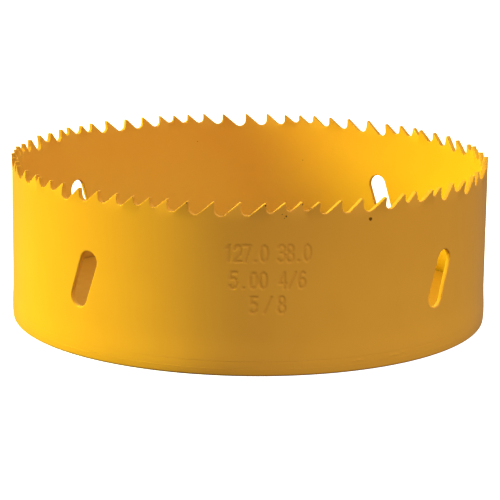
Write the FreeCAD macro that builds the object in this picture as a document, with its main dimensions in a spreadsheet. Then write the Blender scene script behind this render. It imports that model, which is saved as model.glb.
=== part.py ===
import FreeCAD, Part
import math
import os
import Sketcher

# Hole saw: a steel strip rolled into a ring, with variable-pitch set teeth along its top edge and four
# slanted slots through its wall, standing on the shoulder of a turned end plate and welded to it all round.
# Origin at the centre of the underside, +Z towards the teeth, millimetres and degrees.
# Angles round the ring are counted from -Y towards +X, anticlockwise seen from the teeth.

SIZES = {
    # Ring
    "cutting_diameter": 127.0,      # over the tips of the teeth that are set outwards
    "overall_height": 43.1,         # underside to tooth tips
    "wall_thickness": 1.25,
    # Teeth
    "edge_height": 6.0,             # toothed edge of the strip, from the tips down
    "tooth_set": 0.5,               # how far a set tip leans out or in
    "set_share": 0.9,               # the lean starts at this share of the shallower gullet beside the tooth
    "tip_land": 0.35,               # flat left behind each tip
    "back_angle": 40.0,             # slope of a tooth's back; its front face is upright and radial
    "root_share": 0.235,            # gullet radius as a share of the pitch
    "first_tip_angle": 318.5,       # where the strip's first tooth stands
    # Plug-ejection slots
    "slot_count": 4,
    "slot_width": 5.3,
    "slot_length": 15.2,            # end to end
    "slot_lean": 20.0,
    "slot_middle": 20.2,            # height of a slot's middle
    # End plate
    "rim_thickness": 2.9,           # height of the shoulder that the wall stands on
    "plate_thickness": 4.4,
    "rim_chamfer": 0.5,
    "register_gap": 0.1,            # between the plate's raised middle and the wall round it
    "arbor_bore": 14.5,             # core of a 5/8 inch hole with 18 threads to the inch
    "bore_chamfer": 0.6,
    "pin_count": 4,
    "pin_circle": 27.0,
    "pin_hole": 6.6,
    # Weld
    "weld_leg": 0.9,                # how far its groove reaches in, up and down from the joint
    "weld_crown": 0.3,              # how far the bead stands proud of the wall
    "crown_width": 0.9,             # level part of the bead's crown
}

# Tooth pitches along the strip before the ring is closed. Each run goes from coarse to fine.
RUNS = {
    "first": (5.2, 6.2, 6.8, 6.0, 4.5, 4.5, 4.1),
    "second": (5.7, 5.9, 6.2, 6.0, 4.3, 5.0, 3.7),
    "third": (6.5, 6.2, 6.0, 4.9, 4.2, 4.5),
}
HALF_RING = ("second", "third", "first", "second", "third")

# Lean of each tooth in turn: straight, inwards, outwards
SET_ORDER = (0, -1, 1)

doc = FreeCAD.newDocument("hole_saw")
sheet = doc.addObject("Spreadsheet::Sheet", "Sizes")
cells = dict(SIZES)
for run, pitches in RUNS.items():
    for number, pitch in enumerate(pitches, 1):
        cells["%s_run_pitch_%d" % (run, number)] = pitch
for row, (name, value) in enumerate(cells.items(), 1):
    sheet.set("A%d" % row, name)
    sheet.set("B%d" % row, str(value))
    sheet.setAlias("B%d" % row, name)
doc.recompute()

# Expressions that several sketches share
OUTER = "(Sizes.cutting_diameter / 2 - Sizes.tooth_set)"
INNER = "(Sizes.cutting_diameter / 2 - Sizes.tooth_set - Sizes.wall_thickness)"
BAND_TOP = "(Sizes.overall_height - Sizes.edge_height)"
SHOULDER = "Sizes.rim_thickness"

UP = FreeCAD.Vector(0, 0, 1)
CENTRE = FreeCAD.Vector(0, 0, 0)


def value_of(expression):
    """Worth of an expression on the sheet, as a plain number."""
    return float(sheet.evalExpression(expression.replace("Sizes.", "")))


def size(name):
    return float(sheet.get(name))


outer_radius = value_of(OUTER)
inner_radius = value_of(INNER)
band_top = value_of(BAND_TOP)
top = size("overall_height")


# Sketches and the features made from them

def origin_feature(body, role):
    return [feature for feature in body.Origin.OriginFeatures if feature.Role == role][0]


def new_sketch(body, name, plane):
    sketch = body.newObject("Sketcher::SketchObject", name)
    sketch.AttachmentSupport = [(origin_feature(body, plane), "")]
    sketch.MapMode = "FlatFace"
    return sketch


def drive(sketch, constraint, expression):
    sketch.setExpression("Constraints[%d]" % sketch.addConstraint(constraint), expression)


def place_point(sketch, edge, end, x, y):
    """Holds a point of the sketch at two expressions, measured from the sketch's origin."""
    drive(sketch, Sketcher.Constraint("DistanceX", -1, 1, edge, end, value_of(x)), x)
    drive(sketch, Sketcher.Constraint("DistanceY", -1, 1, edge, end, value_of(y)), y)


def section(body, name, corners):
    """Closed outline on the XZ plane, anticlockwise through corners, each a pair of expressions."""
    sketch = new_sketch(body, name, "XZ_Plane")
    points = [FreeCAD.Vector(value_of(x), value_of(z), 0) for x, z in corners]
    for start, end in zip(points, points[1:] + points[:1]):
        sketch.addGeometry(Part.LineSegment(start, end))
    for side in range(len(corners)):
        sketch.addConstraint(Sketcher.Constraint("Coincident", side, 2, (side + 1) % len(corners), 1))
    for side, (x, z) in enumerate(corners):
        place_point(sketch, side, 1, x, z)
    return sketch


def turned(body, sketch):
    """Full turn of a section about Z."""
    feature = body.newObject("PartDesign::Revolution", body.Name + "Turned")
    feature.Profile = sketch
    feature.ReferenceAxis = (origin_feature(body, "Z_Axis"), [""])
    feature.Angle = 360
    sketch.Visibility = False
    return feature


def cut_round(body, sketch, name, count, length=None):
    """Pocket on the side that the sketch faces, repeated about Z. With no length it goes right through."""
    doc.recompute()
    before = body.Shape.Volume
    pocket = body.newObject("PartDesign::Pocket", name)
    pocket.Profile = sketch
    pocket.Reversed = True
    if length is None:
        pocket.Type = "ThroughAll"
    else:
        pocket.Type = "Length"
        pocket.setExpression("Length", length)
    doc.recompute()
    one = before - body.Shape.Volume
    pattern = body.newObject("PartDesign::PolarPattern", name + "Pattern")
    pattern.Originals = [pocket]
    pattern.Axis = (origin_feature(body, "Z_Axis"), [""])
    pattern.Angle = 360
    pattern.setExpression("Occurrences", "Sizes." + count)
    body.Tip = pattern
    doc.recompute()
    if one <= 0 or abs(before - body.Shape.Volume - one * size(count)) > 0.001 * before:
        raise RuntimeError("%s doesn't cut what it should" % name)


# Band: the wall below the teeth, bevelled at its foot for the weld, with the slots through it

band = doc.addObject("PartDesign::Body", "Band")
turned(band, section(band, "BandSection", [
    (INNER, SHOULDER),
    (OUTER + " - Sizes.weld_leg", SHOULDER),
    (OUTER, SHOULDER + " + Sizes.weld_leg"),
    (OUTER, BAND_TOP),
    (INNER, BAND_TOP),
]))


def slanted_slot(body, name):
    """Round-ended slot through the -Y side, its top leaning towards +X."""
    sketch = new_sketch(body, name, "XZ_Plane")
    reach = "(Sizes.slot_length - Sizes.slot_width) / 2"
    across = reach + " * sin(Sizes.slot_lean * 1deg)"
    rise = reach + " * cos(Sizes.slot_lean * 1deg)"
    half_length = (size("slot_length") - size("slot_width")) / 2
    radius = size("slot_width") / 2
    lean = math.radians(size("slot_lean"))
    along = FreeCAD.Vector(math.sin(lean), math.cos(lean), 0)
    side = FreeCAD.Vector(math.cos(lean), -math.sin(lean), 0) * radius
    middle = FreeCAD.Vector(0, size("slot_middle"), 0)
    upper = middle + along * half_length
    lower = middle - along * half_length
    sketch.addGeometry(Part.Arc(upper + side, upper + along * radius, upper - side))
    sketch.addGeometry(Part.LineSegment(upper - side, lower - side))
    sketch.addGeometry(Part.Arc(lower - side, lower - along * radius, lower + side))
    sketch.addGeometry(Part.LineSegment(lower + side, upper + side))
    for edge in range(4):
        sketch.addConstraint(Sketcher.Constraint("Tangent", edge, 2, (edge + 1) % 4, 1))
    sketch.addConstraint(Sketcher.Constraint("Equal", 0, 2))
    drive(sketch, Sketcher.Constraint("Radius", 0, radius), "Sizes.slot_width / 2")
    drive(sketch, Sketcher.Constraint("DistanceX", -1, 1, 0, 3, upper.x), across)
    drive(sketch, Sketcher.Constraint("DistanceY", -1, 1, 0, 3, upper.y), "Sizes.slot_middle + " + rise)
    drive(sketch, Sketcher.Constraint("DistanceX", 2, 3, -1, 1, -lower.x), across)
    drive(sketch, Sketcher.Constraint("DistanceY", -1, 1, 2, 3, lower.y), "Sizes.slot_middle - " + rise)
    return sketch


cut_round(band, slanted_slot(band, "SlotOutline"), "Slot", "slot_count", "Sizes.cutting_diameter / 2")


# Toothed edge of the strip. In the strip's own plane, u runs forwards from a tooth's tip and w up from it.

def strip_pitches():
    """Every pitch once round the ring, scaled so that the last gap closes on the first tooth."""
    run = {name: [size("%s_run_pitch_%d" % (name, number + 1)) for number in range(len(pitches))]
           for name, pitches in RUNS.items()}
    half = [pitch for name in HALF_RING for pitch in run[name]]
    # Between the halves the first run is cut short: it loses its opening pitch, and then all but two
    unscaled = half + run["first"][1:] + half + run["first"][:2]
    scale = 2 * math.pi * outer_radius / sum(unscaled)
    return [pitch * scale for pitch in unscaled]


def gullet_outline(pitch):
    """Points (u, w) of one gullet: front face of a tooth, rounded root and back of the next tooth."""
    back = math.radians(size("back_angle"))
    root = size("root_share") * pitch
    gap = pitch - size("tip_land")
    # The front face and the back would meet in a corner, which the root's arc rounds off
    corner = -gap * math.tan(back)
    reach = root / math.tan((math.pi / 2 - back) / 2)
    return {
        "tip": (0, 0),
        "front_end": (0, corner + reach),
        "bottom": (root, corner + reach - root),
        "back_end": (reach * math.cos(back), corner + reach * math.sin(back)),
        "next_tip": (gap, 0),
    }


def gullet_cutter(pitch, tip):
    """Prism that mills the gullet in front of the tooth whose tip stands at the angle given."""
    past = 2 * size("tooth_set")
    inside = inner_radius - past
    point = {name: FreeCAD.Vector(u, -inside, top + w)
             for name, (u, w) in gullet_outline(pitch).items()}
    lift = UP * past
    edges = [
        Part.LineSegment(point["tip"] + lift, point["front_end"]).toShape(),
        Part.Arc(point["front_end"], point["bottom"], point["back_end"]).toShape(),
        Part.LineSegment(point["back_end"], point["next_tip"]).toShape(),
        Part.LineSegment(point["next_tip"], point["next_tip"] + lift).toShape(),
        Part.LineSegment(point["next_tip"] + lift, point["tip"] + lift).toShape(),
    ]
    prism = Part.Face(Part.Wire(edges)).extrude(FreeCAD.Vector(0, inside - outer_radius - past, 0))
    prism.rotate(CENTRE, UP, tip)
    return prism


def tooth_blank(start, end, lean, bend):
    """The strip's section above the band, leaning from a bend line up to its set, turned to the end angle."""
    shift = lean * size("tooth_set")
    corners = [
        (inner_radius, band_top),
        (outer_radius, band_top),
        (outer_radius, top - bend),
        (outer_radius + shift, top),
        (inner_radius + shift, top),
        (inner_radius, top - bend),
    ]
    points = [FreeCAD.Vector(0, -radius, height) for radius, height in corners]
    face = Part.Face(Part.makePolygon(points + points[:1]))
    face.rotate(CENTRE, UP, start)
    return face.revolve(CENTRE, UP, end - start)


def toothed_edge():
    """Blanks side by side round the ring, each from root to root, with the gullets milled out."""
    pitches = strip_pitches()
    outlines = [gullet_outline(pitch) for pitch in pitches]
    degrees = 180 / math.pi / outer_radius
    tips = [size("first_tip_angle") + sum(pitches[:number]) * degrees for number in range(len(pitches))]
    roots = [tip + outline["bottom"][0] * degrees for tip, outline in zip(tips, outlines)]
    blanks = []
    cutters = []
    for number, pitch in enumerate(pitches):
        behind = roots[number - 1] - (360 if number == 0 else 0)
        shallower = min(-outlines[number - 1]["bottom"][1], -outlines[number]["bottom"][1])
        lean = SET_ORDER[number % len(SET_ORDER)]
        blanks.append(tooth_blank(behind, roots[number], lean, size("set_share") * shallower))
        cutters.append(gullet_cutter(pitch, tips[number]))
    return blanks[0].multiFuse(blanks[1:]).cut(cutters)


edge = doc.addObject("Part::Feature", "ToothedEdge")
edge.Shape = toothed_edge()

wall = doc.addObject("Part::Fuse", "ToothedWall")
wall.Base = band
wall.Tool = edge
wall.Refine = True
wall.Label = "toothed_wall"


# End plate: a turned disc with a shoulder for the wall, a chamfered arbor hole and drive-pin holes round it

REGISTER = INNER + " - Sizes.register_gap"
BORE = "Sizes.arbor_bore / 2"
plate = doc.addObject("PartDesign::Body", "EndPlate")
turned(plate, section(plate, "PlateSection", [
    (BORE + " + Sizes.bore_chamfer", "0"),
    (OUTER + " - Sizes.rim_chamfer", "0"),
    (OUTER, "Sizes.rim_chamfer"),
    (OUTER, SHOULDER + " - Sizes.weld_leg"),
    (OUTER + " - Sizes.weld_leg", SHOULDER),
    (REGISTER, SHOULDER),
    (REGISTER, "Sizes.plate_thickness"),
    (BORE + " + Sizes.bore_chamfer", "Sizes.plate_thickness"),
    (BORE, "Sizes.plate_thickness - Sizes.bore_chamfer"),
    (BORE, "Sizes.bore_chamfer"),
]))

pin_sketch = new_sketch(plate, "PinHole", "XY_Plane")
pin_centre = FreeCAD.Vector(size("pin_circle") / 2, 0, 0)
pin_sketch.addGeometry(Part.Circle(pin_centre, UP, size("pin_hole") / 2))
place_point(pin_sketch, 0, 3, "Sizes.pin_circle / 2", "0")
drive(pin_sketch, Sketcher.Constraint("Diameter", 0, size("pin_hole")), "Sizes.pin_hole")
cut_round(plate, pin_sketch, "PinHoleCut", "pin_count")
plate.Label = "end_plate"


# Weld: fills the groove between the two bevels and stands slightly proud of the wall

CROWN = OUTER + " + Sizes.weld_crown"
bead = doc.addObject("PartDesign::Body", "WeldBead")
turned(bead, section(bead, "BeadSection", [
    (OUTER + " - Sizes.weld_leg", SHOULDER),
    (OUTER, SHOULDER + " - Sizes.weld_leg"),
    (CROWN, SHOULDER + " - Sizes.crown_width / 2"),
    (CROWN, SHOULDER + " + Sizes.crown_width / 2"),
    (OUTER, SHOULDER + " + Sizes.weld_leg"),
]))
bead.Label = "weld_bead"


# Check and write

doc.recompute()
for item in doc.Objects:
    if "Invalid" in item.State or "Error" in item.State:
        raise RuntimeError("%s failed: %s" % (item.Name, item.State))

os.makedirs("parts", exist_ok=True)
for node in (wall, plate, bead):
    shape = node.Shape
    if shape.isNull() or not shape.isValid() or len(shape.Solids) != 1:
        raise RuntimeError("%s isn't one valid solid" % node.Label)
    shape.exportStep("parts/%s.step" % node.Label)
    print("%s: %.1f mm3, %d faces" % (node.Label, shape.Volume, len(shape.Faces)))
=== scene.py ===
import math

import bmesh
import bpy
import numpy as np
from mathutils import Matrix


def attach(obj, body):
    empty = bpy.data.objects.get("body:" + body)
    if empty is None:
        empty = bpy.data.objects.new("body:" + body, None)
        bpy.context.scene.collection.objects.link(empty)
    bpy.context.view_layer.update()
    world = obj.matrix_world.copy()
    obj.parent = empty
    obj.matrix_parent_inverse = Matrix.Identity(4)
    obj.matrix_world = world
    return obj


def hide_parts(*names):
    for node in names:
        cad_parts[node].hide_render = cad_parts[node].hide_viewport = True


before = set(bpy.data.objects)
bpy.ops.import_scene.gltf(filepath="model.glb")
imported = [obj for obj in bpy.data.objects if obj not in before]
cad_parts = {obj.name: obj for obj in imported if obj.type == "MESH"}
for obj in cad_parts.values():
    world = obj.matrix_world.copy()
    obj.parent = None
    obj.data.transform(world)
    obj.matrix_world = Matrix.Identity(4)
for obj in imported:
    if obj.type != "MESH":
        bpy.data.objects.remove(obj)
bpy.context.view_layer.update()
milli = 0.001                                   # shapes below are worked out in millimetres
mergeWithin = 2e-6                              # metres: points closer than this become one
slack = 1e-6                                    # millimetres: heights this close count as equal
paintMarks = ("edge", "hollow", "inside")       # values kept at each point for the paint

# Angles round the saw run from -Y towards +X, as in the solids.


def smooth(t):
    # 0 below 0, 1 above 1, and a soft S between: 3t^2 - 2t^3
    t = np.clip(t, 0.0, 1.0)
    return t * t * (3.0 - 2.0 * t)


def ringPoint(angle, radius, height):
    # point at an angle in radians round the axis: x = r sin a, y = -r cos a
    angle, radius, height = np.broadcast_arrays(angle, radius, height)
    return np.stack([radius * np.sin(angle), -radius * np.cos(angle), height], axis=-1)


def quadsOf(number, keep=None):
    # faces of a grid of vertex numbers: each cell joins four neighbours; keep, if given, picks the cells
    cells = np.stack([number[:-1, :-1], number[:-1, 1:], number[1:, 1:], number[1:, :-1]], axis=-1)
    return cells[keep] if keep is not None else cells.reshape(-1, 4)


def wrapped(number, rows=False):
    # repeats the first column of a grid of vertex numbers after its last, and also the first row if asked
    number = np.concatenate([number, number[:, :1]], axis=1)
    return np.concatenate([number, number[:1]], axis=0) if rows else number


class Sheet:
    # gathers grids of points, with their marks, into one mesh

    def __init__(self):
        self.points, self.faces, self.count = [], [], 0
        self.marks = {mark: [] for mark in paintMarks}

    def add(self, points, **marks):
        # takes a grid of points and gives back the grid of their numbers; a mark left out is 0
        flat = np.asarray(points, float).reshape(-1, 3)
        number = np.arange(self.count, self.count + len(flat)).reshape(np.shape(points)[:-1])
        self.points.append(flat)
        self.count += len(flat)
        for mark, kept in self.marks.items():
            kept.append(np.broadcast_to(marks.get(mark, 0.0), number.shape).reshape(-1).astype(float))
        return number

    def face(self, cells):
        # takes an array or a list of faces, each a row of point numbers
        self.faces.extend(cells.tolist() if hasattr(cells, "tolist") else cells)

    def make(self, name, material, standsFor):
        # merges doubles, turns all faces outwards and adds the piece to the scene
        points = np.concatenate(self.points) * milli
        mesh = bpy.data.meshes.new(name)
        mesh.from_pydata(points.tolist(), [], self.faces)
        for mark, kept in self.marks.items():
            mesh.attributes.new(mark, "FLOAT", "POINT").data.foreach_set("value", np.concatenate(kept))
        work = bmesh.new()
        work.from_mesh(mesh)
        bmesh.ops.remove_doubles(work, verts=work.verts, dist=mergeWithin)
        loose = [vertex for vertex in work.verts if not vertex.link_faces]
        bmesh.ops.delete(work, geom=loose, context="VERTS")
        bmesh.ops.recalc_face_normals(work, faces=work.faces)
        if work.calc_volume(signed=True) < 0:
            bmesh.ops.reverse_faces(work, faces=work.faces)
        openEdges = sum(not edge.is_manifold for edge in work.edges)
        work.to_mesh(mesh)
        work.free()
        mesh.polygons.foreach_set("use_smooth", np.ones(len(mesh.polygons), bool))
        mesh.materials.append(material)
        piece = bpy.data.objects.new(name, mesh)
        bpy.context.scene.collection.objects.link(piece)
        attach(piece, "root")
        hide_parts(standsFor)
        mesh.calc_loop_triangles()
        print(name, len(mesh.loop_triangles), "triangles,", openEdges, "open edges")
        return piece


# Camera: fitted to the photograph's rim, base and side lines

camera = {
    "round": 40.0, "distance": 592.12, "height": 156.35,       # place, in degrees and millimetres
    "turn": 0.00046, "dip": 0.23143, "tilt": 0.01242,          # radians
    "focalPixels": 2264.73, "framePixels": 500.0, "sensor": 36.0,
    "nearest": 0.05, "farthest": 30.0,                         # metres
}


def placeCamera(setting):
    # looks along +Y from in front of the saw, turned and dipped by two angles and tilted by a third about its
    # line of sight; all of it is then swung round the saw
    swing = math.radians(setting["round"])
    toModel = np.array([[math.cos(swing), -math.sin(swing), 0.0],
                        [math.sin(swing), math.cos(swing), 0.0], [0.0, 0.0, 1.0]])
    turn, dip, tilt = setting["turn"], setting["dip"], setting["tilt"]
    ahead = np.array([math.sin(turn) * math.cos(dip), math.cos(turn) * math.cos(dip), -math.sin(dip)])
    right = np.array([math.cos(turn), -math.sin(turn), 0.0])
    up = np.cross(right, ahead)
    right, up = (math.cos(tilt) * right + math.sin(tilt) * up,
                 math.cos(tilt) * up - math.sin(tilt) * right)
    place = np.array([0.0, -setting["distance"], setting["height"]]) * milli
    matrix = np.eye(4)
    matrix[:3, :3] = toModel @ np.stack([right, up, -ahead], axis=1)
    matrix[:3, 3] = toModel @ place
    lens = bpy.data.cameras.new("camera")
    lens.sensor_width = setting["sensor"]
    lens.lens = setting["sensor"] * setting["focalPixels"] / setting["framePixels"]
    lens.clip_start, lens.clip_end = setting["nearest"], setting["farthest"]
    eye = bpy.data.objects.new("camera", lens)
    bpy.context.scene.collection.objects.link(eye)
    eye.matrix_world = Matrix(matrix.tolist())
    bpy.context.scene.camera = eye


placeCamera(camera)
print("camera placed")


# Shader building

class Wire:
    # a node's output; an operator on it adds a Math node

    def __init__(self, paint, socket):
        self.paint, self.socket = paint, socket

    def math(self, operation, *values):
        return self.paint.node("ShaderNodeMath", {"operation": operation}, dict(enumerate(values)))

    def __add__(self, other):
        return self.math("ADD", self, other)

    def __sub__(self, other):
        return self.math("SUBTRACT", self, other)

    def __rsub__(self, other):
        return self.math("SUBTRACT", other, self)

    def __mul__(self, other):
        return self.math("MULTIPLY", self, other)

    __radd__, __rmul__ = __add__, __mul__

    def atMost(self, other):
        return self.math("MINIMUM", self, other)

    def atLeast(self, other):
        return self.math("MAXIMUM", self, other)

    def fade(self, start, end):
        # 0 before start, 1 after end, soft between; start may be the larger
        settings = {"interpolation_type": "SMOOTHSTEP"}
        return self.paint.node("ShaderNodeMapRange", settings, {0: self, 1: start, 2: end, 3: 0.0, 4: 1.0})


class Paint:
    # one material and its nodes

    def __init__(self, name):
        self.material = bpy.data.materials.new(name)
        self.material.use_nodes = True
        self.tree = self.material.node_tree
        self.tree.nodes.clear()

    def node(self, kind, settings, inputs, output=0):
        # adds a node, sets it up, fills or links its sockets and gives back one of its outputs
        made = self.tree.nodes.new(kind)
        for key, value in settings.items():
            setattr(made, key, value)
        for key, value in inputs.items():
            if isinstance(value, Wire):
                self.tree.links.new(value.socket, made.inputs[key])
            else:
                made.inputs[key].default_value = value
        return Wire(self, made.outputs[output]) if len(made.outputs) else made

    def noise(self, place, size, detail):
        # soft noise from 0 to 1 whose lumps are about this many millimetres across
        inputs = {"Vector": place, "Scale": 1.0 / (size * milli), "Detail": detail}
        return self.node("ShaderNodeTexNoise", {}, inputs)

    def mix(self, factor, first, second):
        # from the first colour to the second; a Mix node's colours are inputs 6 and 7 and output 2
        return self.node("ShaderNodeMix", {"data_type": "RGBA"}, {0: factor, 6: first, 7: second}, output=2)


# Enamel: one coat of glossy yellow over the whole saw

enamel = {
    "colour": (0.75, 0.340, 0.034, 1.0),
    "inside": (0.65, 0.357, 0.042, 1.0),    # painted light: a yellower tone inside the cup, against the orange of light bounced inside it
    "deepAndShade": (0.66, 0.285, 0.029, 1.0),      # a darker tone: random clouds in the coat, and painted shade up the wall and in hollows
    "thinAndShade": (0.42, 0.170, 0.010, 1.0),      # thin coat over cut edges; painted shade on the floor of the cup and along the base's bottom edge
    "chipped": (0.150, 0.062, 0.004, 1.0),  # where a chip has gone through
    # noises as (width of a lump in millimetres, detail)
    "clouds": (14.0, 2.0), "mottle": (2.6, 3.0), "peel": (1.1, 1.5), "ragged": (0.45, 2.0),
    # shares of the deep colour: painted shade up the wall between two heights, random clouds between two
    # values, painted shade in hollows
    "shadeTowardsTop": (15.0, 42.0, 0.55), "deepClouds": (0.35, 0.75, 0.25), "shadeInHollows": 0.8,
    "thinMottle": 0.4,                      # how much of the thin colour comes and goes with the mottle
    "index": 1.40, "shine": 0.10, "coat": 0.12, "coatRoughness": 0.12,
    "roughness": 0.30, "roughMottle": 0.06, "roughCut": 0.3,   # middle value, its mottle, and more where cut
    "cutFull": 5.0,                         # the edge mark times this, up to 1, makes a cut face dull
    "bumpStrength": 0.16, "bumpHeight": 0.00004,
    "bumpPeel": 0.6, "bumpMottle": 0.4, "bumpChip": 2.2,
    # chips as (angle in degrees, distance from the axis, height, radius)
    "chips": ((47.16, 63.0, 40.40, 0.15), (48.05, 63.0, 39.88, 0.20), (47.65, 63.0, 39.42, 0.13),
              (67.80, 63.0, 38.05, 0.48), (43.55, 63.4, 42.65, 0.24), (51.80, 62.55, 42.65, 0.26),
              (26.25, 63.4, 42.75, 0.20), (234.47, 61.75, 35.14, 0.15), (205.54, 61.75, 29.99, 0.13)),
    "chipRagged": 0.9, "chipFrom": 1.12, "chipTo": 0.8,        # times a chip's radius
    "chipMetal": 0.2,
}


def enamelPaint(setting):
    # the colour is mixed in turn: inside with its painted tone, deep with its clouds and painted shade, thin
    # with its thin coat and painted shade, chipped. The bump's height is peel and mottle less the chips.
    paint = Paint("glossyEnamel")
    place = paint.node("ShaderNodeTexCoord", {}, {}, output="Object")
    edge, hollow, inside = (paint.node("ShaderNodeAttribute", {"attribute_name": mark}, {}, output="Fac")
                            for mark in paintMarks)
    clouds, mottle, peel, ragged = (paint.noise(place, *setting[name])
                                    for name in ("clouds", "mottle", "peel", "ragged"))
    # painted light: the inner faces get a yellower tone that offsets the cup's bounced light
    colour = paint.mix(inside, setting["colour"], setting["inside"])
    rise = paint.node("ShaderNodeSeparateXYZ", {}, {0: place}, output="Z")
    # painted shade: the wall grows darker towards its top, from 15 to 42 mm
    low, high, share = setting["shadeTowardsTop"]
    colour = paint.mix(rise.fade(low * milli, high * milli) * share, colour, setting["deepAndShade"])
    low, high, share = setting["deepClouds"]
    colour = paint.mix(clouds.fade(low, high) * share, colour, setting["deepAndShade"])
    # painted shade in hollows: the stamped strokes and the thread's roots
    colour = paint.mix(hollow * setting["shadeInHollows"], colour, setting["deepAndShade"])
    # thin coat on cut edges; the same colour paints shade on the cup's floor and the base's bottom edge
    patchy = (1.0 - setting["thinMottle"]) + mottle * setting["thinMottle"]
    colour = paint.mix((edge * patchy).atMost(1.0), colour, setting["thinAndShade"])
    # chips: distance to each spot, made ragged with noise
    bare = None
    for angle, ring, height, radius in setting["chips"]:
        size = radius * milli
        centre = ringPoint(math.radians(angle), ring, height) * milli
        away = paint.node("ShaderNodeVectorMath", {"operation": "DISTANCE"},
                          {0: place, 1: tuple(float(c) for c in centre)}, output="Value")
        away = away + (ragged - 0.5) * (size * setting["chipRagged"])
        gone = away.fade(size * setting["chipFrom"], size * setting["chipTo"])
        bare = gone if bare is None else bare.atLeast(gone)
    colour = paint.mix(bare, colour, setting["chipped"])
    lump = peel * setting["bumpPeel"] + mottle * setting["bumpMottle"] - bare * setting["bumpChip"]
    bump = paint.node("ShaderNodeBump", {}, {
        "Strength": setting["bumpStrength"], "Distance": setting["bumpHeight"], "Height": lump})
    cut = (edge * setting["cutFull"]).atMost(1.0)      # faces cut after rolling, where the coat is dull
    dull = bare.atLeast(cut)
    least = setting["roughness"] - setting["roughMottle"] / 2
    surface = paint.node("ShaderNodeBsdfPrincipled", {}, {
        "Base Color": colour, "Normal": bump,
        "Roughness": least + mottle * setting["roughMottle"] + dull * setting["roughCut"],
        "Metallic": bare * setting["chipMetal"], "IOR": setting["index"],
        "Specular IOR Level": setting["shine"], "Coat Weight": (1.0 - dull) * setting["coat"],
        "Coat Roughness": setting["coatRoughness"],
    })
    paint.node("ShaderNodeOutputMaterial", {}, {"Surface": surface})
    return paint.material


glossyEnamel = enamelPaint(enamel)
print("enamel mixed")


# Toothed wall

wall = {
    "outer": 63.0, "thickness": 1.25, "top": 43.1, "foot": 2.9, "bevel": 0.9,
    "baseLine": 37.1,                                # the teeth stand on this line of the mesh
    "flare": 0.25, "flareLow": 3.2, "flareTop": 10.0,        # the weld has drawn the foot out slightly
    "seam": (317.0, 0.05, 1.0),                      # butt weld of the strip: angle, height, half width
    "bandRows": (3.8, 3.87, 5.0, 6.4, 8.2, 10.0, 15.1, 20.2, 25.3, 30.4, 37.1),    # rows below the teeth
    "teeth": {
        # pitches of the three runs, and the order that they come in on each half of the strip
        "first": (5.2, 6.2, 6.8, 6.0, 4.5, 4.5, 4.1),
        "second": (5.7, 5.9, 6.2, 6.0, 4.3, 5.0, 3.7),
        "third": (6.5, 6.2, 6.0, 4.9, 4.2, 4.5),
        "half": ("second", "third", "first", "second", "third"),
        "firstTip": 318.5,
        # teeth that stand off the regular runs, as tooth: shift along the strip
        "nudges": {5: -0.7, 6: -0.9, 8: 0.6, 9: 0.35, 10: -0.25, 14: 0.3, 15: 0.3, 18: 0.35, 29: -1.7,
                   30: -0.6, 39: -1.2, 40: -0.5, 41: 0.35, 43: -0.6, 44: -1.4, 45: -1.6, 46: -0.4,
                   49: -0.35, 52: -0.25, 56: -0.35, 64: 0.35, 65: -0.3, 67: -0.5, 68: -2.0, 69: -0.8},
        "land": 0.35, "back": 40.0, "rootShare": 0.235,
        "frontCorner": 0.16, "backCorner": 0.16,     # rounding of a tip seen from the side
        "edgeRound": 0.15, "cutMark": 0.3,           # rounding and edge mark of the cut edges
        # set: each tooth leans in turn straight, in or out, from a bend line below the tips
        "setOrder": (0.0, -1.0, 1.0), "set": 0.5, "bendHeight": 4.1, "bendPower": 1.4,
        "oddSet": {70: 0.0, 72: 0.3, 73: 0.8, 0: 0.4, 1: -0.5},      # near the strip's seam
        "leanFrom": 0.05, "leanOver": 0.42,          # where one lean gives way to the next, in pitches
        # columns of the mesh on the front corner, front face, root, slope, back corner and land, and where
        # these parts start on the base line, in pitches from the tip
        "columns": (3, 3, 9, 6, 2, 1),
        "cornerStart": -0.24, "partStarts": (-0.20, -0.04, 0.36), "backStart": 0.94,
        "rows": (0.22, 0.43, 0.62, 0.8, 0.93),       # rows between the base line and the outline
    },
    "slots": {
        # slots as (angle, height of the middle, length); each was punched a little out of true
        "places": ((-0.5, 20.2, 15.2), (89.6, 19.75, 14.9), (181.8, 20.4, 15.2), (270.6, 20.3, 15.2)),
        "width": 5.3, "lean": 20.0, "round": 0.28, "cutMark": 0.15,
        "reach": 8.5, "rows": (10.0, 15.1, 20.2, 25.3, 30.4),        # size of the cells cut out for a slot
        "spread": (1.0, 0.76, 0.52, 0.32, 0.16, 0.06, 0.0),          # loops between those cells and the slot
    },
    "stamp": {
        "middle": 44.25, "reach": 11.6, "low": 15.3, "high": 33.4, "step": 0.2,
        # rows as (text, middle height, whole width); sizes in plain numbers
        "rows": (("127.0 38.0", 30.7, 20.6), ("5.00 4/6", 24.05, 18.2), ("5/8", 17.95, 8.4)),
        "height": 3.9, "letterWidth": 1.65, "stroke": 0.23, "slope": 0.16, "depth": 0.13,
    },
}
teeth, slots, stamp = wall["teeth"], wall["slots"], wall["stamp"]
circle = 2 * math.pi * wall["outer"]            # length of the strip

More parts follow.
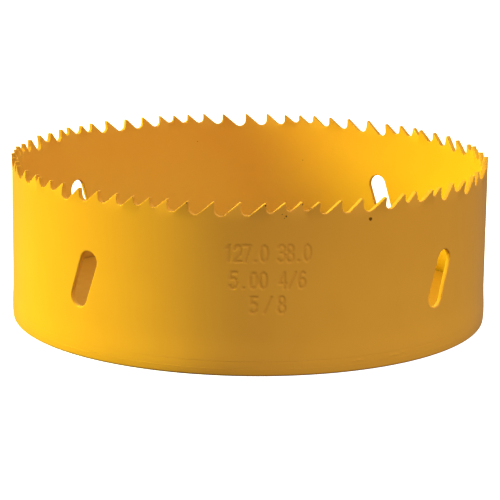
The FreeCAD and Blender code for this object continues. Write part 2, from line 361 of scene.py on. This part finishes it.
# single-line digits on a box 1 wide and 1 high, as open runs of points
digits = {
    "0": (((0.5, 1), (0.15, 0.88), (0, 0.6), (0, 0.4), (0.15, 0.12), (0.5, 0), (0.85, 0.12), (1, 0.4),
           (1, 0.6), (0.85, 0.88), (0.5, 1)),),
    "1": (((0.2, 0.8), (0.55, 1), (0.55, 0)),),
    "2": (((0, 0.75), (0.2, 0.95), (0.55, 1), (0.9, 0.88), (1, 0.7), (0.85, 0.48), (0, 0), (1, 0)),),
    "3": (((0, 0.85), (0.3, 1), (0.7, 1), (0.95, 0.85), (0.95, 0.65), (0.7, 0.53), (0.4, 0.52)),
          ((0.7, 0.53), (1, 0.38), (1, 0.18), (0.75, 0.02), (0.3, 0), (0, 0.15))),
    "4": (((0.75, 0), (0.75, 1), (0, 0.3), (1, 0.3)),),
    "5": (((0.92, 1), (0.12, 1), (0.06, 0.56), (0.4, 0.64), (0.8, 0.56), (1, 0.32), (0.85, 0.1),
           (0.5, 0), (0.15, 0.03), (0, 0.15)),),
    "6": (((0.9, 0.9), (0.6, 1), (0.25, 0.88), (0.03, 0.55), (0.03, 0.28), (0.2, 0.05), (0.5, 0),
           (0.85, 0.1), (1, 0.3), (0.85, 0.52), (0.5, 0.58), (0.15, 0.48), (0.03, 0.28)),),
    "7": (((0, 1), (1, 1), (0.35, 0)),),
    "8": (((0.5, 0.54), (0.12, 0.64), (0.08, 0.85), (0.3, 1), (0.7, 1), (0.92, 0.85), (0.88, 0.64),
           (0.5, 0.54), (0.06, 0.4), (0, 0.18), (0.25, 0), (0.75, 0), (1, 0.18), (0.94, 0.4), (0.5, 0.54)),),
    "/": (((0, 0), (1, 1)),),
    ".": (((0.45, 0.02), (0.55, 0.02)),),
}


def stripPitches(setting):
    # the strip's pitches in turn, scaled so that the last gap closes the ring
    half = [pitch for run in setting["half"] for pitch in setting[run]]
    pitches = np.array(half + list(setting["first"][1:]) + half + list(setting["first"][:2]))
    pitches *= circle / pitches.sum()
    for tooth, shift in setting["nudges"].items():
        pitches[tooth - 1] += shift
        pitches[tooth] -= shift
    return pitches


pitches = stripPitches(teeth)
tipRun = np.concatenate([[0.0], np.cumsum(pitches)[:-1]])      # distance along the strip to each tip
firstTip = math.radians(teeth["firstTip"])
leans = np.array(teeth["setOrder"])[np.arange(len(pitches)) % len(teeth["setOrder"])]
for tooth, lean in teeth["oddSet"].items():
    leans[tooth] = lean


def stripAt(angle):
    # place along the strip of an angle in degrees
    return (math.radians(angle) - firstTip) * wall["outer"]


def aside(along, middle):
    # the shorter way round the strip from a middle to a place, less than 0 before it
    return (along - middle + circle / 2) % circle - circle / 2


def toothOutline(setting):
    # one gullet per row: arc over the tip's front corner, upright front face, round root, sloping back,
    # small arc onto the land. Returns run and rise from the tip, and the direction out of the steel.
    back = math.radians(setting["back"])
    front, rear = setting["frontCorner"], setting["backCorner"]
    pitch = pitches[:, None]
    root = setting["rootShare"] * pitch
    gap = pitch - setting["land"]
    corner = -gap * math.tan(back)
    reach = root / math.tan((math.pi / 2 - back) / 2)
    one = np.ones_like(pitch)
    frontCount, faceCount, rootCount, slopeCount, rearCount, landCount = setting["columns"]
    parts = []

    def arc(middleRun, middleRise, radius, start, end, count):
        # the radius is negative where the steel lies outside the circle
        turn = np.radians(np.linspace(start, end, count, endpoint=False))[None, :]
        side = np.sign(radius)
        size = np.abs(radius)
        parts.append((middleRun + size * np.cos(turn), middleRise + size * np.sin(turn),
                      side * np.cos(turn) * one, side * np.sin(turn) * one))

    def line(run, rise, toRun, toRise, outward, count):
        t = np.linspace(0.0, 1.0, count, endpoint=False)[None, :]
        parts.append((run + (toRun - run) * t, rise + (toRise - rise) * t,
                      outward[0] * one * np.ones_like(t), outward[1] * one * np.ones_like(t)))

    slopeOut = (-math.sin(back), math.cos(back))
    backRun, backRise = reach * math.cos(back), corner + reach * math.sin(back)
    rearTangent = rear * math.tan(back / 2)
    rearRun = gap + rearTangent
    endRun, endRise = rearRun - rear * math.sin(back), -rear + rear * math.cos(back)
    arc(-front * one, -front * one, front, 90.0, 0.0, frontCount)
    line(0 * one, -front * one, 0 * one, corner + reach, (1.0, 0.0), faceCount)
    arc(root, corner + reach, -root, 180.0, 270.0 + setting["back"], rootCount)
    line(backRun, backRise, endRun, endRise, slopeOut, slopeCount)
    arc(rearRun, -rear * one, rear, 90.0 + setting["back"], 90.0, rearCount)
    line(rearRun, 0 * one, pitch - front, 0 * one, (0.0, 1.0), landCount)
    return [np.concatenate([part[which] for part in parts], axis=1) for which in range(4)]


def baseRun(setting):
    # where each column of a gullet starts on the base line, so that no two columns cross: set places for the
    # starts of the gullet's parts, even steps between them, and the next gullet's start at the end
    following = setting["cornerStart"] * np.roll(pitches, -1)
    starts = np.cumsum((0,) + setting["columns"])
    anchors = np.append(starts[:5], starts[-1])
    own = np.stack([setting["cornerStart"] * pitches, *(start * pitches for start in setting["partStarts"]),
                    setting["backStart"] * pitches + following, pitches + following], axis=1)
    columns = np.arange(anchors[-1])
    left = np.searchsorted(anchors, columns, side="right") - 1
    share = (columns - anchors[left]) / (anchors[left + 1] - anchors[left])
    return own[:, left] * (1 - share) + own[:, left + 1] * share


def leanAt(run, rise):
    # radial shift of a set tooth: grows from nothing at the bend to the whole set at the tip, and passes
    # from one tooth's lean to the next across the root between them
    share = smooth((run - teeth["leanFrom"] * pitches[:, None]) / (teeth["leanOver"] * pitches[:, None]))
    lean = leans[:, None] + (np.roll(leans, -1) - leans)[:, None] * share
    height = np.clip((rise + teeth["bendHeight"]) / teeth["bendHeight"], 0.0, 1.0)
    return teeth["set"] * lean * height ** teeth["bendPower"]


def wallPoint(along, height, depth, shift=0.0):
    # along the strip, up, and into the steel from its outer face: the radius is the outer one less the depth,
    # plus the foot's flare, a tooth's shift and the seam's bell-shaped ridge
    share = 1.0 - depth / wall["thickness"]
    flareTop, flareLow = wall["flareTop"], wall["flareLow"]
    flare = wall["flare"] * share * smooth((flareTop - height) / (flareTop - flareLow))
    seamAngle, seamHeight, seamHalf = wall["seam"]
    ridge = seamHeight * np.exp(-(aside(along, stripAt(seamAngle)) / seamHalf) ** 2) * (2 * share - 1)
    radius = wall["outer"] - depth + flare + shift + ridge
    return ringPoint(firstTip + along / wall["outer"], radius, height)


def cutEdge(radius, mark, degrees):
    # section of a cut edge from the outer face to the inner one, two quarter circles, as the inset from the
    # outline, the depth in the steel and the edge mark
    turn = np.radians(degrees)
    outer = [(radius * (1 - math.sin(a)), radius * (1 - math.cos(a)), mark * math.sin(a)) for a in turn]
    return outer + [(inset, wall["thickness"] - depth, worn) for inset, depth, worn in outer[::-1]]


def slotLoops(away, middleHeight, length):
    # loops round a slot, as across, height, depth and edge mark. Each point of the outline, two half circles
    # and two straight sides, goes with a point on the cells cut out round it; the loops between them are
    # shares of the way, and those on the cut edge follow its section through the wall.
    low, high = slots["rows"][0], slots["rows"][-1]
    sides = np.array(slots["rows"][1:-1])
    count, beside = len(away), len(sides)
    frameX = np.concatenate([away, np.full(beside, away[-1]), away[::-1], np.full(beside, away[0])])
    frameZ = np.concatenate([np.full(count, high), sides[::-1], np.full(count, low), sides])
    radius = slots["width"] / 2
    half = (length - slots["width"]) / 2
    lean = math.radians(slots["lean"])
    capTurn = np.linspace(180.0, 0.0, count)
    turn = np.radians(np.concatenate([capTurn, np.zeros(beside), capTurn - 180.0, np.full(beside, 180.0)]))
    sideShare = np.linspace(1.0, -1.0, beside + 2)[1:-1]
    lift = np.concatenate([np.full(count, half), sideShare * half, np.full(count, -half), -sideShare * half])

    def outline(grow):
        # grown outwards, leaning with the slot
        x, z = (radius + grow) * np.cos(turn), lift + (radius + grow) * np.sin(turn)
        return (x * math.cos(lean) + z * math.sin(lean),
                middleHeight + z * math.cos(lean) - x * math.sin(lean))

    nearX, nearZ = outline(slots["round"])
    drawn = [(nearX + (frameX - nearX) * share, nearZ + (frameZ - nearZ) * share)
             for share in slots["spread"]]
    section = cutEdge(slots["round"], slots["cutMark"], (30.0, 60.0, 90.0))
    return ([(x, z, 0.0, 0.0) for x, z in drawn]
            + [(*outline(inset), depth, worn) for inset, depth, worn in section]
            + [(x, z, wall["thickness"], 0.0) for x, z in drawn[::-1]])


def strokeField(along, height, setting):
    # how deep the stamp goes: full depth within half a stroke of a digit's lines, sloping out beyond
    nearest = np.full(along.shape, np.inf)
    for text, middle, width in setting["rows"]:
        advance = (width - setting["letterWidth"]) / (len(text) - 1)
        for place, letter in enumerate(text):
            left = -width / 2 + place * advance
            for stroke in digits.get(letter, ()):
                run = [(left + x * setting["letterWidth"], middle + (y - 0.5) * setting["height"])
                       for x, y in stroke]
                for (startX, startY), (endX, endY) in zip(run, run[1:]):
                    stepX, stepY = endX - startX, endY - startY
                    t = ((along - startX) * stepX + (height - startY) * stepY) / (stepX ** 2 + stepY ** 2)
                    t = np.clip(t, 0.0, 1.0)
                    gapX, gapY = along - startX - t * stepX, height - startY - t * stepY
                    nearest = np.minimum(nearest, np.hypot(gapX, gapY))
    return 1.0 - smooth((nearest - setting["stroke"]) / setting["slope"])


def buildWall():
    # rows of points run round the ring, up its outer face, over the teeth and down its inner face. Cells are
    # left out for the slots and the stamp, which bring grids of their own.
    sheet = Sheet()
    run, rise, outRun, outRise = toothOutline(teeth)
    base = baseRun(teeth)
    tips = tipRun[:, None]
    along = (tips + base).reshape(-1)
    columns = len(along)
    top, thick, baseLine = wall["top"], wall["thickness"], wall["baseLine"]
    edgeRound, slotRows, bandRows = teeth["edgeRound"], slots["rows"], wall["bandRows"]

    def level(height, depth):
        # a row of points at one height, with its depth and edge mark
        return wallPoint(along, height, depth), depth, 0.0

    def tier(insetBy, depth, share, worn):
        # a row of points a share of the way from the base line up to the teeth's inset outline
        toRun, toRise = run - insetBy * outRun, rise - insetBy * outRise
        atRun = base + (toRun - base) * share
        atHeight = baseLine + (top + toRise - baseLine) * share
        points = wallPoint(tips + atRun, atHeight, depth, leanAt(atRun, atHeight - top))
        return points.reshape(-1, 3), depth, worn

    rows = [level(wall["foot"], depth) for depth in (thick, wall["bevel"])]
    firstBand = len(rows)
    rows += [level(height, 0.0) for height in bandRows]
    rows += [tier(edgeRound, 0.0, share, 0.0) for share in teeth["rows"]]
    rows += [tier(inset, depth, 1.0, worn)
             for inset, depth, worn in cutEdge(edgeRound, teeth["cutMark"], (0.0, 30.0, 60.0, 90.0))]
    rows += [tier(edgeRound, thick, share, 0.0) for share in teeth["rows"][::-1]]
    innerBand = len(rows)
    rows += [level(height, thick) for height in (baseLine, *slotRows[::-1])]
    depths, edges = (np.array([row[which] for row in rows])[:, None] for which in (1, 2))
    number = sheet.add(np.stack([row[0] for row in rows]), edge=edges, inside=depths > thick / 2)

    def columnsNear(middle, reach):
        # numbers of the columns within reach of a place along the strip, in their order round the ring
        near = np.flatnonzero(np.abs(aside(along, middle)) <= reach)
        first = near[0] if near[-1] - near[0] < columns / 2 else near[np.argmax(np.diff(near)) + 1]
        return (first + np.arange(len(near))) % columns

    # cells left out: for each slot on both faces, and for the stamp on the outer one
    keep = np.ones((len(rows), columns), bool)
    lowest = firstBand + bandRows.index(slotRows[0])
    highest = firstBand + len(bandRows) - 1
    punched = []
    for angle, middleHeight, length in slots["places"]:
        middle = stripAt(angle)
        chosen = columnsNear(middle, slots["reach"])
        punched.append((chosen, middle, middleHeight, length))
        for start in (lowest, innerBand + 1):
            keep[start:start + len(slotRows) - 1, chosen[:-1]] = False
    stampMiddle = stripAt(stamp["middle"])
    stampColumns = columnsNear(stampMiddle, stamp["reach"])
    before, after = (stampColumns[0] - 1) % columns, stampColumns[-1]
    keep[lowest:highest, [before, *stampColumns]] = False
    sheet.face(quadsOf(wrapped(number, rows=True), keep))

    for chosen, middle, middleHeight, length in punched:
        loops = slotLoops(aside(along[chosen], middle), middleHeight, length)
        points = np.stack([wallPoint(middle + x, z, depth) for x, z, depth, worn in loops])
        depths, edges = (np.array([loop[which] for loop in loops])[:, None] for which in (2, 3))
        sheet.face(quadsOf(wrapped(sheet.add(points, edge=edges, inside=depths > thick / 2))))

    # stamp: finer rows between the same columns, and one face on either side of each coarse cell that joins
    # them to the wall's own rows
    coarse = [height for height in bandRows if height >= slotRows[0]]
    fine = np.arange(stamp["low"], stamp["high"], stamp["step"])
    heights = np.unique(np.round(np.concatenate([coarse, fine]), 4))
    acrossGrid, heightGrid = np.meshgrid(aside(along[stampColumns], stampMiddle), heights)
    pressed = strokeField(acrossGrid, heightGrid, stamp)
    pressed[:, [0, -1]] = 0.0
    points = wallPoint(stampMiddle + acrossGrid, heightGrid, 0.0, -stamp["depth"] * pressed)
    # the pressed strokes get painted shade through the hollow mark
    stamped = sheet.add(points, hollow=pressed)
    sheet.face(quadsOf(stamped))
    beyond = (after + 1) % columns
    for cell in range(lowest, highest):
        low, high = bandRows[cell - firstBand], bandRows[cell - firstBand + 1]
        between = np.flatnonzero((heights >= low - slack) & (heights <= high + slack))
        sheet.face([[*stamped[between, -1][::-1], number[cell, beyond], number[cell + 1, beyond]],
                    [*stamped[between, 0], number[cell + 1, before], number[cell, before]]])
    return sheet.make("enamelled_wall", glossyEnamel, "toothed_wall")


buildWall()


# End plate

plate = {
    "thickness": 4.4, "outer": 63.0, "bevel": 0.9,
    "register": 61.62, "registerRound": 0.15, "shoulderHeight": 2.9,         # raised middle inside the wall
    # rim, from its upper edge down over a slight step and a waist to the rounded edge of the base
    "rim": 63.245, "step": (0.004, 0.07), "waistHeight": 1.2, "rimLow": 63.12, "edgeRound": 0.55,
    "segments": 480, "rings": (30.0, 45.0, 58.0), "lastRing": 61.3, "roundSteps": 5,
    # pin holes, in sectors of the flat zone round the bore
    "zone": (8.6, 18.5), "pins": 4, "pinCircle": 27.0, "pinHole": 6.6, "pinChamfer": 0.35,
    "sideRows": 13, "spread": (1.0, 0.66, 0.33, 0.1, 0.0),
    "threadMinor": 7.25, "threadMajor": 7.95, "threadPitch": 1.411, "threadFlank": 2.3, "threadRoot": 0.12,
    "threadMouth": 8.15, "mouthSlope": 1.1, "boreRows": 56,
    # edge marks: painted shade on the floor of the cup and along the base's bottom edge, and thin paint on
    # sharp edges
    "floorShade": 0.75, "edgeWear": 0.5, "baseEdgeShade": 1.6,
    # painted shade in the thread's roots
    "threadHollow": 0.5,
}


def turnedOutside():
    # the plate's turned profile as radius, height and edge mark: out along the top face, over the register,
    # shoulder and rim, and in along the underside
    thick, shoulder = plate["thickness"], plate["shoulderHeight"]
    small, big = plate["registerRound"], plate["edgeRound"]
    rim, rimLow, outerZone = plate["rim"], plate["rimLow"], plate["zone"][1]
    stepIn, stepDown = plate["step"]
    rimTop = shoulder - plate["bevel"]
    quarter = np.radians(np.linspace(0.0, 90.0, plate["roundSteps"]))
    # the top face carries painted shade over the floor of the cup
    stations = [(r, thick, plate["floorShade"]) for r in (outerZone, *plate["rings"], plate["lastRing"])]
    stations += [(plate["register"] - small + small * math.sin(a), thick - small + small * math.cos(a),
                  plate["edgeWear"]) for a in quarter]
    stations += [(plate["register"], shoulder, 0.0), (plate["outer"] - plate["bevel"], shoulder, 0.0),
                 (rim, rimTop, 0.0), (rim - stepIn, rimTop - stepDown, 0.0),
                 ((rim + rimLow) / 2, plate["waistHeight"], 0.0)]
    # painted shade along the base's rounded bottom edge
    stations += [(rimLow - big + big * math.cos(a), big - big * math.sin(a), plate["baseEdgeShade"] * a)
                 for a in quarter]
    stations += [(r, 0.0, 0.0) for r in (*plate["rings"][::-1], outerZone)]
    return [np.array(values)[:, None] for values in zip(*stations)]


def sectorLoops(arc):
    # loops with their edge marks, from a sector's sides in to its pin hole on the top face, through the hole
    # and out again below: each is a share of the way from the hole's rim to the sides
    innerZone, outerZone = plate["zone"]
    sideRadii = np.linspace(outerZone, innerZone, plate["sideRows"])
    ends = len(sideRadii) - 2
    frameAngle = np.concatenate([arc, np.full(ends, arc[-1]), arc[::-1], np.full(ends, arc[0])])
    frameRadius = np.concatenate([np.full(len(arc), outerZone), sideRadii[1:-1],
                                  np.full(len(arc), innerZone), sideRadii[-2:0:-1]])
    sector = ringPoint(frameAngle, frameRadius, 0.0)
    middle = ringPoint((arc[0] + arc[-1]) / 2, plate["pinCircle"] / 2, 0.0)
    toward = sector - middle
    direction = np.arctan2(toward[:, 1], toward[:, 0])
    hole, chamfer, thick = plate["pinHole"] / 2, plate["pinChamfer"], plate["thickness"]

    def disc(radius, height):
        return np.stack([middle[0] + radius * np.cos(direction), middle[1] + radius * np.sin(direction),
                         np.full(len(direction), height)], axis=-1)

    def face(height, worn):
        rim, flat = disc(hole + chamfer, height), sector + np.array([0.0, 0.0, height])
        return [(rim + (flat - rim) * share, worn) for share in plate["spread"]]

    lips = [(disc(hole, height), plate["edgeWear"]) for height in (thick - chamfer, chamfer)]
    # the sectors' top faces carry the floor's painted shade
    return face(thick, plate["floorShade"]) + lips + face(0.0, 0.0)[::-1]


def buildPlate():
    # a turned outside, a sector for each pin hole, and a threaded bore, whose radius goes from major to minor
    # and back once in each pitch as the thread winds up
    sheet = Sheet()
    segments, pins, thick = plate["segments"], plate["pins"], plate["thickness"]
    around = 2 * math.pi * np.arange(segments) / segments - math.pi / pins

    radius, height, edge = turnedOutside()
    points = ringPoint(around[None, :], radius, height)
    sheet.face(quadsOf(wrapped(sheet.add(points, edge=edge, inside=height > plate["shoulderHeight"]))))

    share = segments // pins
    closed = np.append(around, around[0] + 2 * math.pi)
    for pin in range(pins):
        loops = sectorLoops(closed[pin * share:(pin + 1) * share + 1])
        points = np.stack([loop for loop, worn in loops])
        edge = np.array([worn for loop, worn in loops])[:, None]
        sheet.face(quadsOf(wrapped(sheet.add(points, edge=edge, inside=points[:, :, 2] > thick / 2))))

    # threaded bore: a triangular ridge winds up the wall, and cones open both mouths
    z = np.linspace(0.0, thick, plate["boreRows"])[:, None]
    phase = (z / plate["threadPitch"] - around[None, :] / (2 * math.pi)) % 1.0
    ridge = np.clip(np.abs(phase - 0.5) * plate["threadFlank"] - plate["threadRoot"], 0.0, 1.0)
    bore = plate["threadMajor"] + (plate["threadMinor"] - plate["threadMajor"]) * ridge
    mouth = plate["threadMouth"] - np.minimum(z, thick - z) * plate["mouthSlope"]
    points = ringPoint(around[None, :], np.maximum(bore, mouth), z)
    # the thread's roots get painted shade through the hollow mark
    number = sheet.add(points, hollow=plate["threadHollow"] * (1 - ridge), inside=z > thick / 2)
    innerZone = plate["zone"][0]
    # the floor's painted shade reaches the ring round the bore
    top = sheet.add(ringPoint(around, innerZone, thick)[None], inside=1.0, edge=plate["floorShade"])
    bottom = sheet.add(ringPoint(around, innerZone, 0.0)[None])
    sheet.face(quadsOf(wrapped(np.concatenate([bottom, number, top]))))
    return sheet.make("enamelled_plate", glossyEnamel, "end_plate")


buildPlate()


# Weld bead

bead = {
    "segments": 1400, "across": 15, "middle": 2.9, "half": 1.0, "root": 62.1, "low": 63.225,
    "crown": 0.030, "swell": 0.008, "limit": 63.268,
    # waves round the ring as (amount, count, phase): of the crown's height, and of the bead's line
    "swellWaves": ((0.5, 7, 0.3), (0.4, 13, 1.9), (0.3, 29, 4.0), (0.25, 53, 2.2)),
    "lineWaves": ((0.04, 11, 0.6), (0.03, 31, 0.0)),
    # ripples: height, count round the ring, bow across the bead, and sway as (amount, count)
    "ripple": 0.004, "ripples": 230, "rippleBow": 2.5, "rippleSway": (0.8, 17),
    # spatter as (angle in degrees, height, half width along, half width up, how proud)
    "spatter": ((74.2, 2.75, 0.30, 0.16, 0.10), (75.1, 2.85, 0.34, 0.18, 0.12),
                (76.0, 2.75, 0.24, 0.16, 0.09), (77.6, 3.10, 0.26, 0.18, 0.11),
                (64.3, 2.75, 0.30, 0.16, 0.09), (65.5, 2.85, 0.36, 0.18, 0.11),
                (66.5, 2.75, 0.26, 0.16, 0.08)),
}


def wavesRound(around, waves):
    # sum of sine waves round the ring
    return sum(amount * np.sin(count * around + phase) for amount, count, phase in waves)


def buildBead():
    # the section's outside is a low round crown whose height varies round the ring with overlapping
    # waves: fine ripples left by the arc, and slow swellings; each drop of spatter adds a bell-shaped bump
    sheet = Sheet()
    around = 2 * math.pi * np.arange(bead["segments"]) / bead["segments"]
    across = np.linspace(-1.0, 1.0, bead["across"])[:, None]
    sway, swayCount = bead["rippleSway"]
    ripple = np.sin(bead["ripples"] * around + bead["rippleBow"] * across ** 2
                    + sway * np.sin(swayCount * around))
    dome = 1.0 - across ** 2
    crown = bead["crown"] + bead["swell"] * wavesRound(around, bead["swellWaves"])
    radius = np.minimum(bead["low"] + dome * crown + dome * bead["ripple"] * ripple, bead["limit"])
    height = bead["middle"] + across * bead["half"] + wavesRound(around, bead["lineWaves"])
    for angle, middle, wide, tall, proud in bead["spatter"]:
        away = (np.degrees(around[None, :]) - angle) * math.radians(bead["low"]) / wide
        radius = radius + proud * np.exp(-away ** 2 - ((height - middle) / tall) ** 2)
    root = ringPoint(around, bead["root"], bead["middle"])[None]
    outside = ringPoint(around[None, :], radius, height)
    sheet.face(quadsOf(wrapped(sheet.add(np.concatenate([root, outside])), rows=True)))
    return sheet.make("enamelled_weld", glossyEnamel, "weld_bead")


buildBead()


# Stage: a white table under soft skies, with a yellow key light on the left and a white fill on the right

stage = {
    "size": 6.0, "below": -0.00003,         # a hair under the saw, so that their faces don't meet
    "table": (0.93, 0.93, 0.93, 1.0), "shade": (0.82, 0.82, 0.82, 1.0), "shadeShare": 0.02,
    "grain": (60.0, 2.0),                   # noise as (width of a lump in millimetres, detail)
    "roughness": 0.9, "shine": 0.1, "glow": 1.0,
    "aim": 0.02,                            # height of the spot that all lamps are turned to, in metres
    # soft skies as (name, angle round, elevation, strength, spread)
    "skies": (("top", 0.0, 90.0, 0.3, 100.0), ("back", 180.0, 45.0, 1.5, 70.0)), "skyDistance": 2.0,
    # lights as (name, angle round, distance, height, width, height of panel, power, colour, seen in gloss)
    "panels": (("key", -90.0, 0.85, 0.39, 0.22, 0.5, 18.0, (0.88, 1.00, 0.03), True),
               ("strip", -90.0, 1.20, 0.45, 0.25, 0.9, 0.5, (1.0, 1.0, 1.0), True),
               ("fill", 46.0, 1.2, 0.9, 0.9, 0.9, 12.4, (1.0, 1.0, 1.0), False)),
    # the world's light: low strength where the sine of the elevation is below one value, high above another
    "worldFrom": -0.25, "worldTo": 0.35, "worldLow": 0.165, "worldHigh": 0.45,
}


def tablePaint(setting):
    # white and a trace of pale grey mixed by a wide soft noise, glowing so that the table stays white
    paint = Paint("paleTable")
    place = paint.node("ShaderNodeTexCoord", {}, {}, output="Object")
    grain = paint.noise(place, *setting["grain"])
    white = paint.mix(grain * setting["shadeShare"], setting["table"], setting["shade"])
    surface = paint.node("ShaderNodeBsdfPrincipled", {}, {
        "Base Color": white, "Roughness": setting["roughness"], "Specular IOR Level": setting["shine"],
        "Emission Color": white, "Emission Strength": setting["glow"],
    })
    paint.node("ShaderNodeOutputMaterial", {}, {"Surface": surface})
    return paint.material


def placeLamp(light, angle, distance, height, glossy):
    # stands at an angle round from the camera's side, its back turned on the saw's middle, so that it shines
    # at the saw; a lamp right above needs the small push sideways to have a side at all
    lamp = bpy.data.objects.new(light.name, light)
    lamp.visible_glossy = glossy
    place = ringPoint(math.radians(angle + camera["round"]), distance, height)
    away = place - np.array([0.0, 0.0, stage["aim"]])
    away /= np.linalg.norm(away)
    side = np.cross([0.0, 0.0, 1.0], away) + np.array([1e-6, 0.0, 0.0])
    side /= np.linalg.norm(side)
    matrix = np.eye(4)
    matrix[:3, :3] = np.stack([side, np.cross(away, side), away], axis=1)
    matrix[:3, 3] = place
    lamp.matrix_world = Matrix(matrix.tolist())
    bpy.context.scene.collection.objects.link(lamp)


def buildStage(setting):
    half, low = setting["size"] / 2, setting["below"]
    mesh = bpy.data.meshes.new("table")
    corners = [(-half, -half, low), (half, -half, low), (half, half, low), (-half, half, low)]
    mesh.from_pydata(corners, [], [(0, 1, 2, 3)])
    mesh.materials.append(tablePaint(setting))
    table = bpy.data.objects.new("table", mesh)
    bpy.context.scene.collection.objects.link(table)
    table.visible_diffuse = table.visible_glossy = False     # the white of the table doesn't flood the saw
    for name, angle, elevation, strength, spread in setting["skies"]:
        sky = bpy.data.lights.new(name, "SUN")
        sky.energy, sky.angle = strength, math.radians(spread)
        rise, far = math.radians(elevation), setting["skyDistance"]
        placeLamp(sky, angle, far * math.cos(rise), far * math.sin(rise), False)
    for name, angle, distance, height, width, tall, power, tint, glossy in setting["panels"]:
        panel = bpy.data.lights.new(name, "AREA")
        panel.shape, panel.size, panel.size_y = "RECTANGLE", width, tall
        panel.energy, panel.color = power, tint
        placeLamp(panel, angle, distance, height, glossy)
    world = bpy.data.worlds.new("studio")
    world.use_nodes = True
    nodes, links = world.node_tree.nodes, world.node_tree.links
    around, split, rise = (nodes.new("ShaderNode" + kind) for kind in ("TexCoord", "SeparateXYZ", "MapRange"))
    rise.interpolation_type = "SMOOTHSTEP"
    for number, key in enumerate(("worldFrom", "worldTo", "worldLow", "worldHigh"), 1):
        rise.inputs[number].default_value = setting[key]
    links.new(around.outputs["Generated"], split.inputs[0])
    links.new(split.outputs[2], rise.inputs[0])
    links.new(rise.outputs[0], nodes["Background"].inputs["Strength"])
    nodes["Background"].inputs["Color"].default_value = (1.0, 1.0, 1.0, 1.0)
    bpy.context.scene.world = world


buildStage(stage)
bpy.context.scene.view_settings.view_transform = "Standard"
print("stage lit")
